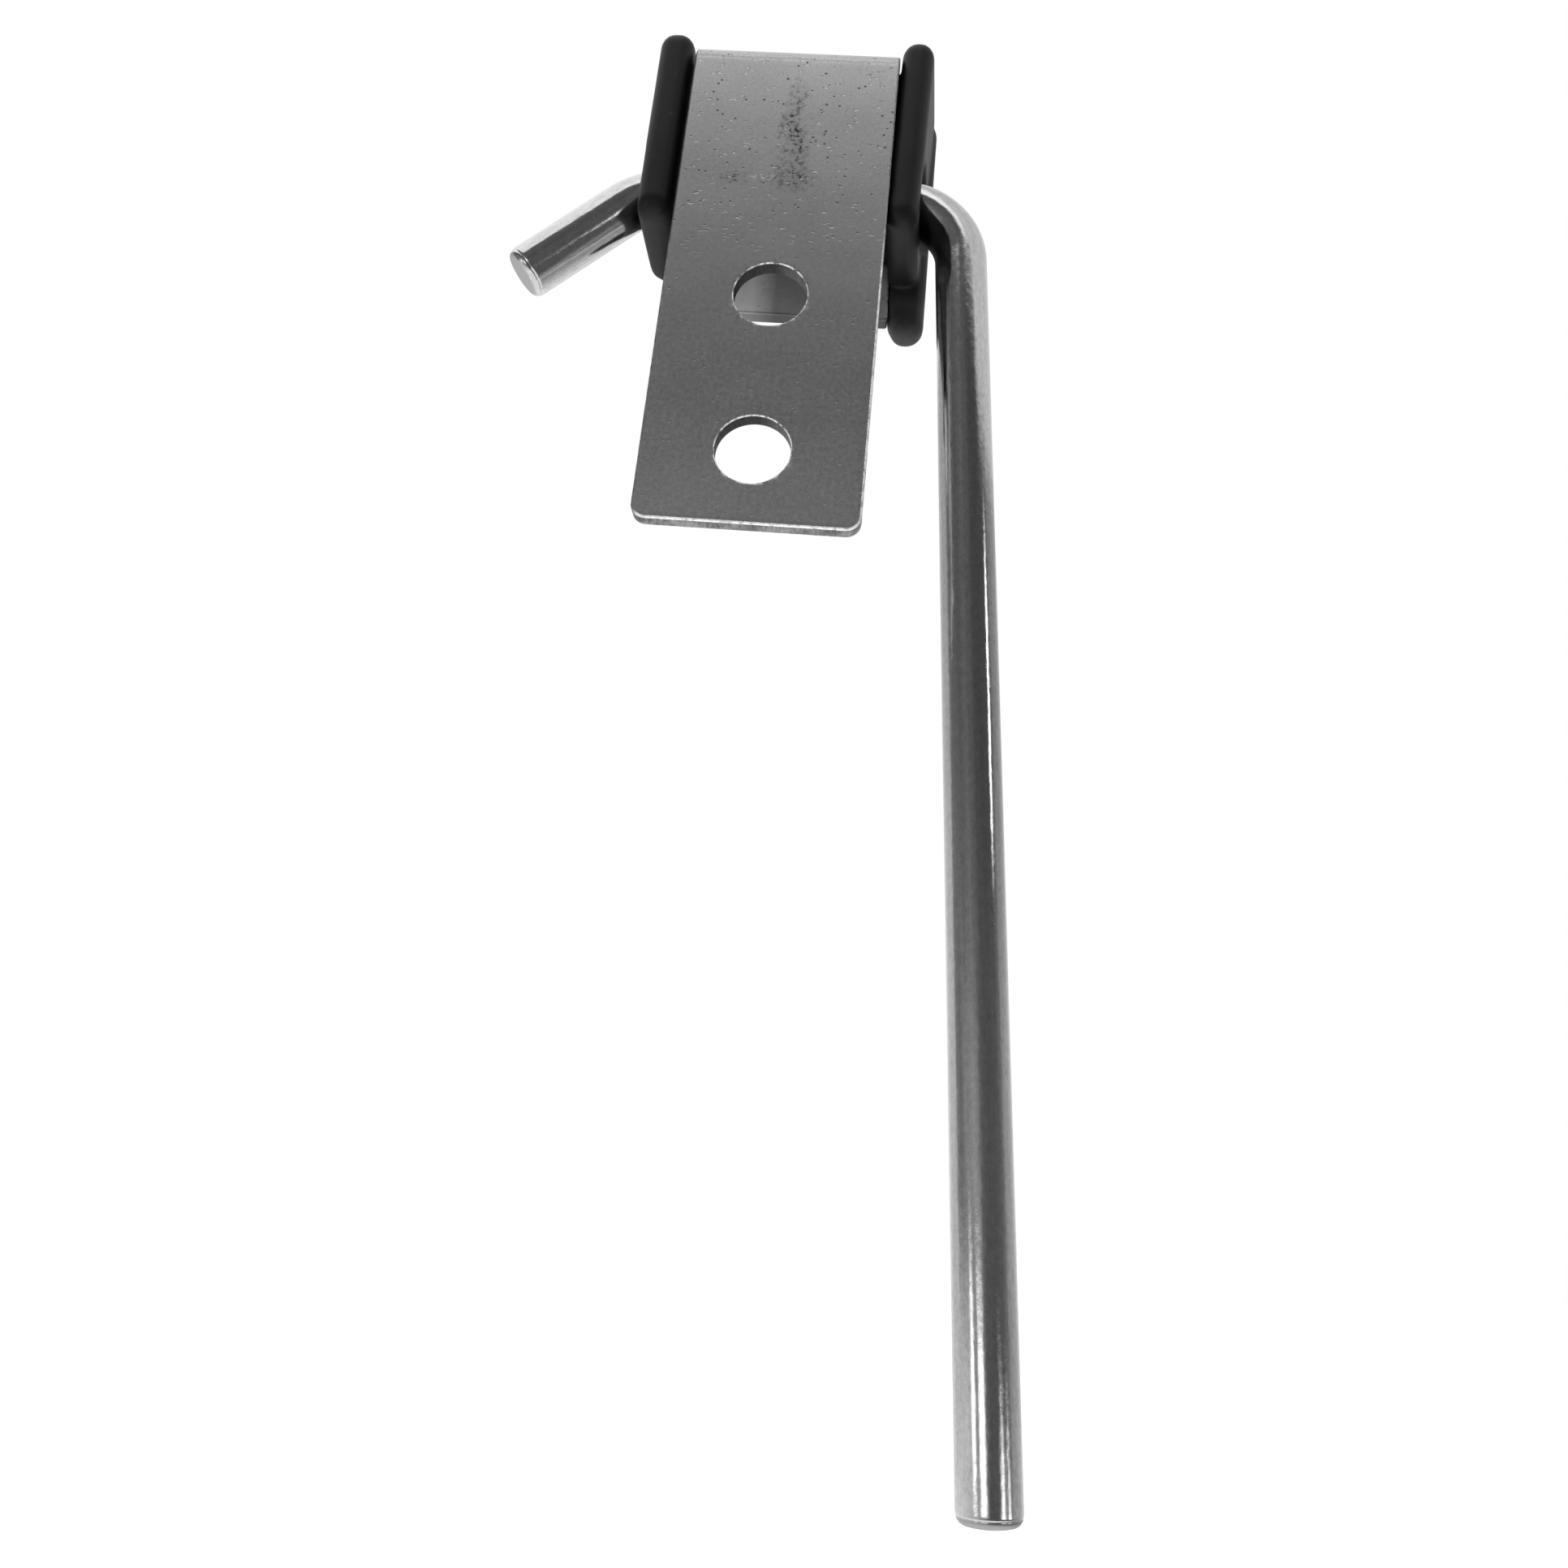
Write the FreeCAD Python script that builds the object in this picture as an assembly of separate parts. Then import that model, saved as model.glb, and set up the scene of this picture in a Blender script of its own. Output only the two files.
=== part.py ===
"""Strap-hung rod bracket: a folded steel strap holds a black moulded bush,
and a bent round steel rod turns in the bush.

Frame, in millimetres: the origin is midway between the two bolt holes, on the
outer face of the long leaf.  +X runs along the rod's turning axis towards the
long arm, +Y runs from the long leaf to the short leaf, +Z runs up to the fold.
"""
import FreeCAD, Part
import math
import os

# Strap
STRAP_WIDTH = 32.0
STRAP_THICKNESS = 2.4
STRAP_DEPTH = 18.0
STRAP_TOP_Z = 60.6
STRAP_BOTTOM_Z = -24.6
SHORT_LEAF_END_Z = 21.5
SHORT_LEAF_SKEW = 1.1
FOLD_OUTER_RADIUS = 4.5
LONG_LEAF_CORNER_RADIUS = 2.2
SHORT_LEAF_CORNER_RADIUS = 0.5
HOLE_RADIUS = 5.4
HOLE_SPACING = 25.9

# Rod
ROD_RADIUS = 3.95
ROD_AXIS_Y = 9.0
ROD_AXIS_Z = 37.4
ROD_END_CHAMFER = 0.5
LONG_ARM_AXIS_X = 27.0
LONG_ARM_BEND_DEG = 86.0
LONG_ARM_BEND_RADIUS = 10.6
LONG_ARM_LENGTH = 182.2
SHORT_ARM_AXIS_X = -22.5
SHORT_ARM_BEND_DEG = 43.2
SHORT_ARM_BEND_RADIUS = 12.6
SHORT_ARM_LENGTH = 24.0

# Bush
BORE_CLEARANCE = 0.05
BORE_MOUTH_RADIUS = 7.6
BORE_MOUTH_DEPTH = 5.9
BORE_MOUTH_OUTER_X = 22.6
CORE_BOTTOM_Z = 31.6
CORE_CORNER_RADIUS = 2.4
CORE_OVERLAP = 1.8
FRONT_PLATE_RIM_RADIUS = 2.3
FRONT_PLATE_LEFT_X = (-16.8, -22.2)
FRONT_PLATE_RIGHT_X = (16.2, 21.2)
FRONT_PLATE_LEFT_LEAN_DEG = 1.8
FRONT_PLATE_RIGHT_LEAN_DEG = 4.0
FRONT_PLATE_LEFT_TILT_DEG = 0.0
FRONT_PLATE_RIGHT_TILT_DEG = 1.3
FRONT_PLATE_FRONT_Y = 0.3
FRONT_PLATE_BACK_Y = 18.0
FRONT_PLATE_TOP_Z = 62.7
FRONT_PLATE_BOTTOM_Z = 27.3
FRONT_PLATE_CORNER_RADIUS = 2.9
BACK_PLATE_LEFT_X = (-16.4, -19.4)
BACK_PLATE_FRONT_Y = 15.0
BACK_PLATE_BACK_Y = 20.2
BACK_PLATE_TOP_Z = 61.6
BACK_PLATE_BOTTOM_Z = 18.9
BACK_PLATE_CORNER_RADIUS = 2.55
BACK_PLATE_LEFT_RIM_RADIUS = 1.3
FOOT_INNER_X = 16.2
FOOT_OUTER_X = 22.8
FOOT_BOTTOM_Z = 19.1
FOOT_BOTTOM_INNER_X = 18.5
FOOT_KNEE = (17.15, 21.6)
FOOT_TAPER_START_Z = 28.3
FOOT_CORNER_RADIUS = 2.6
FOOT_KNEE_RADIUS = 2.3
FOOT_TAPER_RADIUS = 6.0
FOOT_RIM_RADIUS = 2.1

X_DIR = FreeCAD.Vector(1, 0, 0)
Y_DIR = FreeCAD.Vector(0, 1, 0)
Z_DIR = FreeCAD.Vector(0, 0, 1)


def unit(vector):
    """Return a copy of the vector with length one."""
    return FreeCAD.Vector(vector).normalize()


def rounded_outline(corners):
    """Return a closed wire through (point, radius) corners with round corners."""
    edges = []
    first_start = None
    last_end = None
    count = len(corners)
    for index in range(count):
        before = corners[index - 1][0]
        point, radius = corners[index]
        after = corners[(index + 1) % count][0]
        arc_start, arc_end, arc = corner_arc(before, point, after, radius)
        if last_end is None:
            first_start = arc_start
        else:
            edges.append(Part.makeLine(last_end, arc_start))
        if arc is not None:
            edges.append(arc)
        last_end = arc_end
    edges.append(Part.makeLine(last_end, first_start))
    return Part.Wire(edges)


def corner_arc(before, point, after, radius):
    """Return the start, the end and the arc that rounds one corner."""
    if radius == 0:
        return point, point, None
    to_before = unit(before - point)
    to_after = unit(after - point)
    half_angle = to_before.getAngle(to_after) / 2
    reach = radius / math.tan(half_angle)
    start = point + to_before * reach
    end = point + to_after * reach
    middle_dir = unit(to_before + to_after)
    middle = point + middle_dir * (radius / math.sin(half_angle) - radius)
    return start, end, Part.Arc(start, middle, end).toShape()


def side_point(x, y, z):
    """Return a point, named so that side-view outlines read clearly."""
    return FreeCAD.Vector(x, y, z)


def make_strap():
    """Return the folded strap with its two bolt holes."""
    left = -STRAP_WIDTH / 2
    inner_radius = FOLD_OUTER_RADIUS - STRAP_THICKNESS
    inner_back_y = STRAP_DEPTH - STRAP_THICKNESS
    inner_top_z = STRAP_TOP_Z - STRAP_THICKNESS
    outline = rounded_outline([
        (side_point(left, 0, STRAP_BOTTOM_Z), 0),
        (side_point(left, 0, STRAP_TOP_Z), FOLD_OUTER_RADIUS),
        (side_point(left, STRAP_DEPTH, STRAP_TOP_Z), FOLD_OUTER_RADIUS),
        (side_point(left, STRAP_DEPTH, SHORT_LEAF_END_Z), 0),
        (side_point(left, inner_back_y, SHORT_LEAF_END_Z), 0),
        (side_point(left, inner_back_y, inner_top_z), inner_radius),
        (side_point(left, STRAP_THICKNESS, inner_top_z), inner_radius),
        (side_point(left, STRAP_THICKNESS, STRAP_BOTTOM_Z), 0),
    ])
    strap = Part.Face(outline).extrude(X_DIR * STRAP_WIDTH)
    strap = skew_short_leaf(strap)
    strap = round_strap_corners(strap)
    for hole_z in (-HOLE_SPACING / 2, HOLE_SPACING / 2):
        centre = FreeCAD.Vector(0, -STRAP_THICKNESS, hole_z)
        drill = Part.makeCylinder(HOLE_RADIUS, 3 * STRAP_THICKNESS, centre, Y_DIR)
        strap = strap.cut(drill)
    return strap


def skew_short_leaf(strap):
    """Replace the short leaf by one that runs slightly to the right on its way down."""
    half = STRAP_WIDTH / 2
    front_y = STRAP_DEPTH - STRAP_THICKNESS
    start_z = STRAP_TOP_Z - FOLD_OUTER_RADIUS
    height = start_z - SHORT_LEAF_END_Z
    corner = FreeCAD.Vector(-half, front_y, SHORT_LEAF_END_Z)
    straight = Part.makeBox(STRAP_WIDTH, STRAP_THICKNESS, height, corner)
    leaf = Part.Face(rounded_outline([
        (side_point(-half, front_y, start_z), 0),
        (side_point(half, front_y, start_z), 0),
        (side_point(half + SHORT_LEAF_SKEW, front_y, SHORT_LEAF_END_Z), 0),
        (side_point(-half + SHORT_LEAF_SKEW, front_y, SHORT_LEAF_END_Z), 0),
    ])).extrude(Y_DIR * STRAP_THICKNESS)
    return strap.cut(straight).fuse(leaf).removeSplitter()


def round_strap_corners(strap):
    """Round the free corners of both leaves in the plane of the sheet."""
    for radius, end_z in (
            (LONG_LEAF_CORNER_RADIUS, STRAP_BOTTOM_Z),
            (SHORT_LEAF_CORNER_RADIUS, SHORT_LEAF_END_Z)):
        corner_edges = []
        for edge in strap.Edges:
            box = edge.BoundBox
            runs_through_sheet = abs(box.YLength - STRAP_THICKNESS) < 0.01
            runs_along_y_only = box.XLength < 0.01 and box.ZLength < 0.01
            if runs_through_sheet and runs_along_y_only and abs(box.ZMin - end_z) < 0.01:
                corner_edges.append(edge)
        strap = strap.makeFillet(radius, corner_edges)
    return strap


def make_core():
    """Return the block of the bush that fills the fold between the leaves."""
    left_x = FRONT_PLATE_LEFT_X[0] - CORE_OVERLAP
    right_x = FRONT_PLATE_RIGHT_X[0] + CORE_OVERLAP
    front_y = STRAP_THICKNESS
    back_y = STRAP_DEPTH - STRAP_THICKNESS
    top_z = STRAP_TOP_Z - STRAP_THICKNESS
    outline = rounded_outline([
        (side_point(left_x, front_y, CORE_BOTTOM_Z), 0),
        (side_point(left_x, front_y, top_z), CORE_CORNER_RADIUS),
        (side_point(left_x, back_y, top_z), CORE_CORNER_RADIUS),
        (side_point(left_x, back_y, CORE_BOTTOM_Z), 0),
    ])
    return Part.Face(outline).extrude(X_DIR * (right_x - left_x))


def make_plate(reach_x, reach_y, reach_z, corner_radius, rim_radius):
    """Return an upright plate with round corners and a softly rounded rim."""
    inner_x, outer_x = reach_x
    front_y, back_y = reach_y
    bottom_z, top_z = reach_z
    outline = rounded_outline([
        (side_point(inner_x, front_y, top_z), corner_radius),
        (side_point(inner_x, back_y, top_z), corner_radius),
        (side_point(inner_x, back_y, bottom_z), corner_radius),
        (side_point(inner_x, front_y, bottom_z), corner_radius),
    ])
    plate = Part.Face(outline).extrude(X_DIR * (outer_x - inner_x))
    rim_edges = [edge for edge in plate.Edges if edge.BoundBox.XLength < 0.01]
    return plate.makeFillet(rim_radius, rim_edges)


def make_front_plate(front_x, lean_deg, tilt_deg):
    """Return a flange's deep front plate, leaning backwards and tilting inwards."""
    front = make_plate(
        front_x,
        (FRONT_PLATE_FRONT_Y, FRONT_PLATE_BACK_Y),
        (FRONT_PLATE_BOTTOM_Z, FRONT_PLATE_TOP_Z),
        FRONT_PLATE_CORNER_RADIUS, FRONT_PLATE_RIM_RADIUS)
    pivot = FreeCAD.Vector(front_x[0], FRONT_PLATE_FRONT_Y, 0)
    front.rotate(pivot, Z_DIR, -lean_deg)
    top = FreeCAD.Vector(front_x[0], FRONT_PLATE_FRONT_Y, FRONT_PLATE_TOP_Z)
    front.rotate(top, Y_DIR, tilt_deg)
    return front


def make_foot():
    """Return the right flange's back plate, which reaches down as a tapering foot."""
    y = BACK_PLATE_FRONT_Y
    knee_x, knee_z = FOOT_KNEE
    outline = rounded_outline([
        (side_point(FOOT_INNER_X, y, BACK_PLATE_TOP_Z), FOOT_CORNER_RADIUS),
        (side_point(FOOT_OUTER_X, y, BACK_PLATE_TOP_Z), FOOT_CORNER_RADIUS),
        (side_point(FOOT_OUTER_X, y, FOOT_BOTTOM_Z), FOOT_CORNER_RADIUS),
        (side_point(FOOT_BOTTOM_INNER_X, y, FOOT_BOTTOM_Z), FOOT_KNEE_RADIUS),
        (side_point(knee_x, y, knee_z), FOOT_KNEE_RADIUS),
        (side_point(FOOT_INNER_X, y, FOOT_TAPER_START_Z), FOOT_TAPER_RADIUS),
    ])
    foot = Part.Face(outline).extrude(Y_DIR * (BACK_PLATE_BACK_Y - y))
    rim_edges = [edge for edge in foot.Edges if edge.BoundBox.YLength < 0.01]
    return foot.makeFillet(FOOT_RIM_RADIUS, rim_edges)


def make_bore():
    """Return the cutter for the rod bore with a flared mouth at each end."""
    bore_radius = ROD_RADIUS + BORE_CLEARANCE
    start = FreeCAD.Vector(-STRAP_WIDTH, ROD_AXIS_Y, ROD_AXIS_Z)
    bore = Part.makeCylinder(bore_radius, 2 * STRAP_WIDTH, start, X_DIR)
    for side in (-1, 1):
        deep_x = side * (BORE_MOUTH_OUTER_X - BORE_MOUTH_DEPTH)
        deep = FreeCAD.Vector(deep_x, ROD_AXIS_Y, ROD_AXIS_Z)
        mouth = Part.makeCone(bore_radius, BORE_MOUTH_RADIUS, BORE_MOUTH_DEPTH, deep, X_DIR * side)
        bore = bore.fuse(mouth)
    return bore


def make_bush():
    """Return the moulded bush: core, two flanges and the rod bore."""
    bush = make_core()
    bush = bush.fuse(make_front_plate(
        FRONT_PLATE_RIGHT_X, FRONT_PLATE_RIGHT_LEAN_DEG, FRONT_PLATE_RIGHT_TILT_DEG))
    bush = bush.fuse(make_foot())
    bush = bush.fuse(make_front_plate(
        FRONT_PLATE_LEFT_X, FRONT_PLATE_LEFT_LEAN_DEG, FRONT_PLATE_LEFT_TILT_DEG))
    bush = bush.fuse(make_plate(
        BACK_PLATE_LEFT_X,
        (BACK_PLATE_FRONT_Y, BACK_PLATE_BACK_Y),
        (BACK_PLATE_BOTTOM_Z, BACK_PLATE_TOP_Z),
        BACK_PLATE_CORNER_RADIUS, BACK_PLATE_LEFT_RIM_RADIUS))
    return bush.cut(make_bore()).cut(make_strap()).removeSplitter()


def arm_direction(side, bend_deg):
    """Return the direction of an arm that leaves the turning axis on one side."""
    bend = math.radians(bend_deg)
    return FreeCAD.Vector(side * math.cos(bend), 0, -math.sin(bend))


def make_rod():
    """Return the rod: a straight middle with one arm bent down at each end."""
    long_corner = FreeCAD.Vector(LONG_ARM_AXIS_X, ROD_AXIS_Y, ROD_AXIS_Z)
    short_corner = FreeCAD.Vector(SHORT_ARM_AXIS_X, ROD_AXIS_Y, ROD_AXIS_Z)
    long_end = long_corner + arm_direction(1, LONG_ARM_BEND_DEG) * LONG_ARM_LENGTH
    short_end = short_corner + arm_direction(-1, SHORT_ARM_BEND_DEG) * SHORT_ARM_LENGTH
    long_start, long_stop, long_arc = corner_arc(
        short_corner, long_corner, long_end, LONG_ARM_BEND_RADIUS)
    short_start, short_stop, short_arc = corner_arc(
        short_end, short_corner, long_corner, SHORT_ARM_BEND_RADIUS)
    path = Part.Wire([
        Part.makeLine(short_end, short_start),
        short_arc,
        Part.makeLine(short_stop, long_start),
        long_arc,
        Part.makeLine(long_stop, long_end),
    ])
    section_circle = Part.makeCircle(ROD_RADIUS, short_end, unit(short_start - short_end))
    rod = path.makePipeShell([Part.Wire([section_circle])], True, False)
    end_edges = []
    for edge in rod.Edges:
        if edge.isClosed() and is_end_circle(edge, (short_end, long_end)):
            end_edges.append(edge)
    return rod.makeChamfer(ROD_END_CHAMFER, end_edges)


def is_end_circle(edge, end_points):
    """Return True when a closed edge is the rim of one of the rod's ends."""
    centre = edge.BoundBox.Center
    return any(centre.distanceToPoint(point) < 0.1 for point in end_points)


def write(shape, node):
    """Write one solid to its own STEP file."""
    solid = shape.Solids[0] if shape.Solids else shape
    solid.exportStep(os.path.join("parts", node + ".step"))


os.makedirs("parts", exist_ok=True)
write(make_strap(), "folded_strap")
write(make_bush(), "flanged_bush")
write(make_rod(), "bent_rod")
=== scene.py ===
"""The strap-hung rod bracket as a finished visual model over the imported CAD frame.

All lengths are in metres in the CAD frame: +X along the rod's turning axis
towards the long arm, +Y from the long leaf to the short leaf, +Z up.
"""
import math

import bmesh
import bpy
from mathutils import Matrix, Vector, noise


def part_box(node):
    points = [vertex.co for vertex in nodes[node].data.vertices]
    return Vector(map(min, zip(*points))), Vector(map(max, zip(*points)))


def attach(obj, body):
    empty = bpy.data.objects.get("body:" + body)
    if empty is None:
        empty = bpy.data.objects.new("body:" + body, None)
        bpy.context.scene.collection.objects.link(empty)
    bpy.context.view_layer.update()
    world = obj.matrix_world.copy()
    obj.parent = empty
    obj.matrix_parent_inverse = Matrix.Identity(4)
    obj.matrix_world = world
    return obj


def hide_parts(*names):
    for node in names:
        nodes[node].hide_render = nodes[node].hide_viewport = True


MM = 0.001

# Strap
STRAP_HALF_WIDTH = 16.0 * MM
SHEET = 2.4 * MM
STRAP_DEPTH = 18.0 * MM
STRAP_TOP_Z = 60.6 * MM
STRAP_BOTTOM_Z = -24.6 * MM
SHORT_LEAF_END_Z = 21.5 * MM
SHORT_LEAF_SKEW = 1.08 * MM
FOLD_RADIUS = 4.5 * MM
LONG_LEAF_CORNER_RADIUS = 2.2 * MM
SHORT_LEAF_CORNER_RADIUS = 0.5 * MM
HOLE_RADIUS = 5.4 * MM
HOLE_Z = 12.95 * MM
SHEAR_EDGE = 0.3 * MM
HOLE_EDGE = 0.17 * MM
RIM_SEGMENTS = 3
CORNER_STEPS = 10
HOLE_SIDES = 72
FOLD_STEPS = 12
LENGTHWISE_STEP = 1.0 * MM
CROSSWISE_STEP = 2.0 * MM
CROSSWISE_CUTS = 7
EDGE_NIBBLE = 0.07 * MM
NIBBLE_BAND = 0.6 * MM
NIBBLE_SIZE = 0.9 * MM
NIBBLE_SQUEEZE = 0.3
FACE_WAVE = 0.03 * MM
FACE_WAVE_SIZE = 9.0 * MM

# Rod
ROD_RADIUS = 3.95 * MM
ROD_AXIS_Y = 9.0 * MM
ROD_AXIS_Z = 37.4 * MM
LONG_ARM_X = 27.0 * MM
LONG_ARM_BEND = math.radians(86.0)
LONG_ARM_BEND_RADIUS = 10.6 * MM
LONG_ARM_LENGTH = 182.2 * MM
SHORT_ARM_X = -22.5 * MM
SHORT_ARM_BEND = math.radians(43.2)
SHORT_ARM_BEND_RADIUS = 12.6 * MM
SHORT_ARM_LENGTH = 24.0 * MM
ROD_SIDES = 96
ROD_STEP = 1.5 * MM
BEND_DEGREES_PER_STEP = 3.0
LEAST_BEND_STEPS = 8
ROD_WAVE = 0.012 * MM
ROD_WAVE_SIZE = 2.5 * MM
ROD_WAVE_STRETCH = 4.0
ROD_END_RUN = 1.4 * MM
END_FACE_REACH = 3.5 * MM
CUT_RIM_DEPTH = 0.85 * MM

# Bush
BUSH_VOXEL = 0.3 * MM
BUSH_SOFTENING_STEPS = 6
BUSH_WAVE = 0.05 * MM
BUSH_WAVE_SIZE = 7.0 * MM
BUSH_WAVE_SEED = 5
BORE_RADIUS = ROD_RADIUS + 0.12 * MM

# Studio
FLOOR_Z = -0.32
FLOOR_HALF_WIDTH = 8.0
FLOOR_SQUARES = 8
FLOOR_GLOW = 0.6
SENSOR_WIDTH_MM = 36.0
LENS_MM = 29.73
CAMERA_PLACE = Vector((19.29, -157.0, -111.3)) * MM
CAMERA_RIGHT = Vector((0.99504, 0.03618, 0.09263))
CAMERA_UP = Vector((-0.07717, -0.30664, 0.94869))
LIGHT_PLACE = Vector((-0.15, -0.35, 0.75))
LIGHT_SIZE = 0.7
LIGHT_POWER = 2.0

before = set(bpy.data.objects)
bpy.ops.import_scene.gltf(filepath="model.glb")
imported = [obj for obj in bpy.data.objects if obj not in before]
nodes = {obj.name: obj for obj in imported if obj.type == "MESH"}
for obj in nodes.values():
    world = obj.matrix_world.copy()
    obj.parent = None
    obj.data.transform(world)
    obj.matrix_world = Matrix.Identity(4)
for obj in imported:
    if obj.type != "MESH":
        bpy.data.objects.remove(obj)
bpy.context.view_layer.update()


# ---------------------------------------------------------------- mesh helpers

FLAT_FACE_WEIGHT = 100


def new_object(name, mesh):
    """Link a mesh to the scene as an object and return the object."""
    thing = bpy.data.objects.new(name, mesh)
    bpy.context.scene.collection.objects.link(thing)
    return thing


def bake_modifiers(thing):
    """Replace an object's mesh by its evaluated mesh and drop its modifiers."""
    graph = bpy.context.evaluated_depsgraph_get()
    mesh = bpy.data.meshes.new_from_object(thing.evaluated_get(graph))
    thing.modifiers.clear()
    thing.data = mesh


def shade_smooth(mesh):
    """Make every face of a mesh smooth."""
    for face in mesh.polygons:
        face.use_smooth = True


def weigh_normals(thing):
    """Keep large flat faces flat next to their small rounded edges."""
    shade_smooth(thing.data)
    weighted = thing.modifiers.new("normals", "WEIGHTED_NORMAL")
    weighted.weight = FLAT_FACE_WEIGHT
    bake_modifiers(thing)


def finish_piece(mesh, name, materials):
    """Turn a bmesh into a smooth object with its materials and return the object."""
    data = bpy.data.meshes.new(name)
    mesh.to_mesh(data)
    mesh.free()
    piece = new_object(name, data)
    for material in materials:
        data.materials.append(material)
    weigh_normals(piece)
    return piece


# ---------------------------------------------------------------- strap

# The kinds of the blank's faces, which are also the strap's material slots in order.
(OUTER_FACE, SHEARED_RIM, SHEARED_WALL, HOLE_RIM, HOLE_WALL, INNER_FACE,
 LEAF_END, LEAF_END_RIM) = range(8)
STRAIGHT_LEAF = STRAP_TOP_Z - FOLD_RADIUS - STRAP_BOTTOM_Z
BEND_LENGTH = FOLD_RADIUS * math.pi / 2
TOP_LENGTH = STRAP_DEPTH - 2 * FOLD_RADIUS
SHORT_LEAF = STRAP_TOP_Z - FOLD_RADIUS - SHORT_LEAF_END_Z
BLANK_LENGTH = STRAIGHT_LEAF + 2 * BEND_LENGTH + TOP_LENGTH + SHORT_LEAF
NEAR_HOLE_RADIUS = 1.5 * HOLE_RADIUS
LEAF_END_BAND = 0.5 * MM
SHARP_ANGLE = math.radians(69.0)
# How nearly upright a normal is on the blank's two flat faces, and on its rounded rims.
FACE_UPRIGHT = 0.99
RIM_UPRIGHT = 0.05


def blank_outline():
    """Return the flat blank's outline, with its four corners rounded."""
    points = []
    long_leaf = LONG_LEAF_CORNER_RADIUS
    short_leaf = SHORT_LEAF_CORNER_RADIUS
    corners = (
        (-1, long_leaf, long_leaf, math.pi),
        (1, long_leaf, long_leaf, 1.5 * math.pi),
        (1, BLANK_LENGTH - short_leaf, short_leaf, 0.0),
        (-1, BLANK_LENGTH - short_leaf, short_leaf, 0.5 * math.pi),
    )
    for side, centre_y, radius, start in corners:
        centre_x = side * (STRAP_HALF_WIDTH - radius)
        for step in range(CORNER_STEPS + 1):
            angle = start + 0.5 * math.pi * step / CORNER_STEPS
            points.append((
                centre_x + radius * math.cos(angle),
                centre_y + radius * math.sin(angle),
            ))
    return points


def hole_outline(along):
    """Return a bolt hole's outline on the blank."""
    points = []
    for step in range(HOLE_SIDES):
        angle = 2 * math.pi * step / HOLE_SIDES
        points.append((HOLE_RADIUS * math.cos(angle), along + HOLE_RADIUS * math.sin(angle)))
    return points


def add_loop(mesh, points):
    """Add a closed loop of edges to a bmesh and return the edges."""
    corners = [mesh.verts.new((x, y, 0.0)) for x, y in points]
    count = len(corners)
    return [mesh.edges.new((corners[i], corners[(i + 1) % count])) for i in range(count)]


def cut_stations():
    """Return the places along the blank where its faces are divided."""
    places = []
    place = LENGTHWISE_STEP
    while place < BLANK_LENGTH - LENGTHWISE_STEP / 2:
        places.append(place)
        place += LENGTHWISE_STEP
    for start in (STRAIGHT_LEAF, STRAIGHT_LEAF + BEND_LENGTH + TOP_LENGTH):
        for index in range(FOLD_STEPS + 1):
            places.append(start + BEND_LENGTH * index / FOLD_STEPS)
    return sorted(set(round(place, 7) for place in places))


def slice_mesh(mesh, place, normal):
    """Divide all faces of a bmesh by a plane."""
    everything = mesh.verts[:] + mesh.edges[:] + mesh.faces[:]
    bmesh.ops.bisect_plane(
        mesh, geom=everything, dist=1e-7, plane_co=place, plane_no=normal)


def flat_blank():
    """Return a bmesh of the flat blank with rounded sheared edges."""
    mesh = bmesh.new()
    edges = add_loop(mesh, blank_outline())
    for hole_z in (-HOLE_Z, HOLE_Z):
        edges += add_loop(mesh, hole_outline(hole_z - STRAP_BOTTOM_Z))
    bmesh.ops.triangle_fill(mesh, use_beauty=True, use_dissolve=False, edges=edges)
    bmesh.ops.dissolve_limit(
        mesh, angle_limit=0.01, use_dissolve_boundaries=False,
        verts=mesh.verts[:], edges=mesh.edges[:])
    grown = bmesh.ops.extrude_face_region(mesh, geom=mesh.faces[:])
    for item in grown["geom"]:
        if isinstance(item, bmesh.types.BMVert):
            item.co.z += SHEET
    bmesh.ops.recalc_face_normals(mesh, faces=mesh.faces[:])
    round_rims(mesh, True, HOLE_EDGE)
    round_rims(mesh, False, SHEAR_EDGE)
    return mesh


def near_hole(point):
    """Return True for a point of the blank at the wall of a bolt hole."""
    for hole_z in (-HOLE_Z, HOLE_Z):
        away = Vector((point.x, point.y - hole_z + STRAP_BOTTOM_Z))
        if away.length < NEAR_HOLE_RADIUS:
            return True
    return False


def round_rims(mesh, in_holes, radius):
    """Round the sharp rims of the bolt holes, or those of the blank's outline."""
    rims = []
    for edge in mesh.edges:
        middle = (edge.verts[0].co + edge.verts[1].co) / 2
        sharp = len(edge.link_faces) == 2 and edge.calc_face_angle(0.0) > SHARP_ANGLE
        if sharp and near_hole(middle) == in_holes:
            rims.append(edge)
    bmesh.ops.bevel(
        mesh, geom=rims, offset=radius, segments=RIM_SEGMENTS, profile=0.5,
        affect="EDGES")


def nibble(point):
    """Return a point of the blank moved by the roughness of its sheared edges."""
    stretched = Vector((point.x, point.y, point.z * NIBBLE_SQUEEZE))
    rough = noise.noise(stretched / NIBBLE_SIZE)
    reach = max(0.0, abs(point.x) - (STRAP_HALF_WIDTH - NIBBLE_BAND)) / NIBBLE_BAND
    inward = (rough * 0.5 + 0.5) * EDGE_NIBBLE * reach
    return Vector((point.x - math.copysign(inward, point.x), point.y, point.z))


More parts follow.
